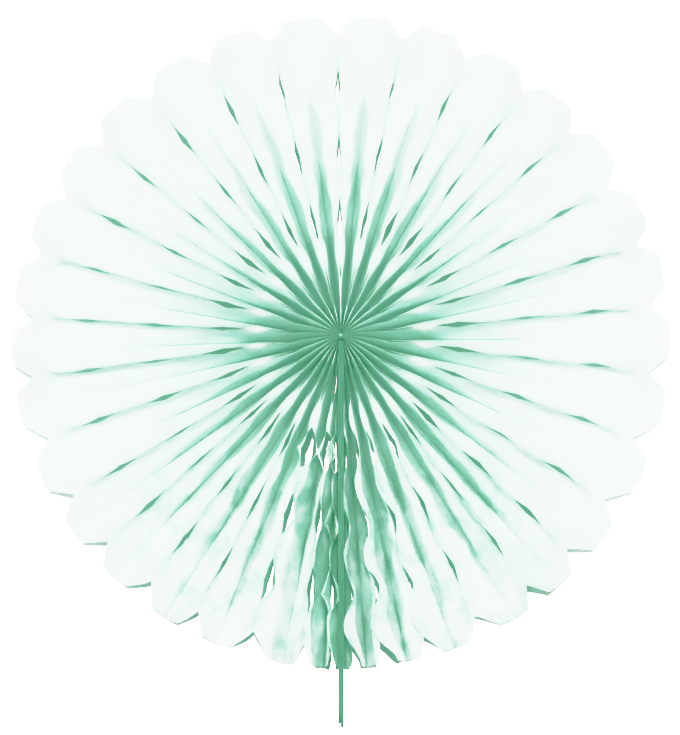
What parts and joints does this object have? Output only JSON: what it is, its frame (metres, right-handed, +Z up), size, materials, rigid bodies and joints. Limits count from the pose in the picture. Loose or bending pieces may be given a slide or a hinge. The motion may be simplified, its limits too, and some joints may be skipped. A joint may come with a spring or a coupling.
{
  "type": "paper fan rosette",
  "caption": "Round tissue paper fan decoration opened to a full circle, with die-cut diamond holes, a notched rim and a card tail.",
  "frame": {"origin": "centre of the rosette, on the line where the cells meet, at mid-depth", "axes": "+Z up, away from the card tail; -Y out of the front; +X to the right seen from the front"},
  "size_m": [0.3999, 0.0498, 0.4331],
  "materials": {
    "tissue": "matt tissue",
    "card": "matt card",
    "glue": "dried glue"
  },
  "bodies": {
    "root": {"centre_glue_bead": "glue", "end_card_left": "card", "end_card_right": "card", "end_cell_left": "tissue", "end_cell_right": "tissue", "tissue_cell_01": "tissue", "tissue_cell_02": "tissue", "tissue_cell_03": "tissue", "tissue_cell_04": "tissue", "tissue_cell_05": "tissue", "tissue_cell_06": "tissue", "tissue_cell_07": "tissue", "tissue_cell_08": "tissue", "tissue_cell_09": "tissue", "tissue_cell_10": "tissue", "tissue_cell_11": "tissue", "tissue_cell_12": "tissue", "tissue_cell_13": "tissue", "tissue_cell_14": "tissue", "tissue_cell_15": "tissue", "tissue_cell_16": "tissue", "tissue_cell_17": "tissue", "tissue_cell_18": "tissue", "tissue_cell_19": "tissue", "tissue_cell_20": "tissue", "tissue_cell_21": "tissue", "tissue_cell_22": "tissue", "tissue_cell_23": "tissue", "tissue_cell_24": "tissue", "tissue_cell_25": "tissue", "tissue_cell_26": "tissue", "tissue_cell_27": "tissue", "tissue_cell_28": "tissue", "tissue_cell_29": "tissue", "tissue_cell_30": "tissue", "tissue_cell_31": "tissue"}
  },
  "joints": []
}
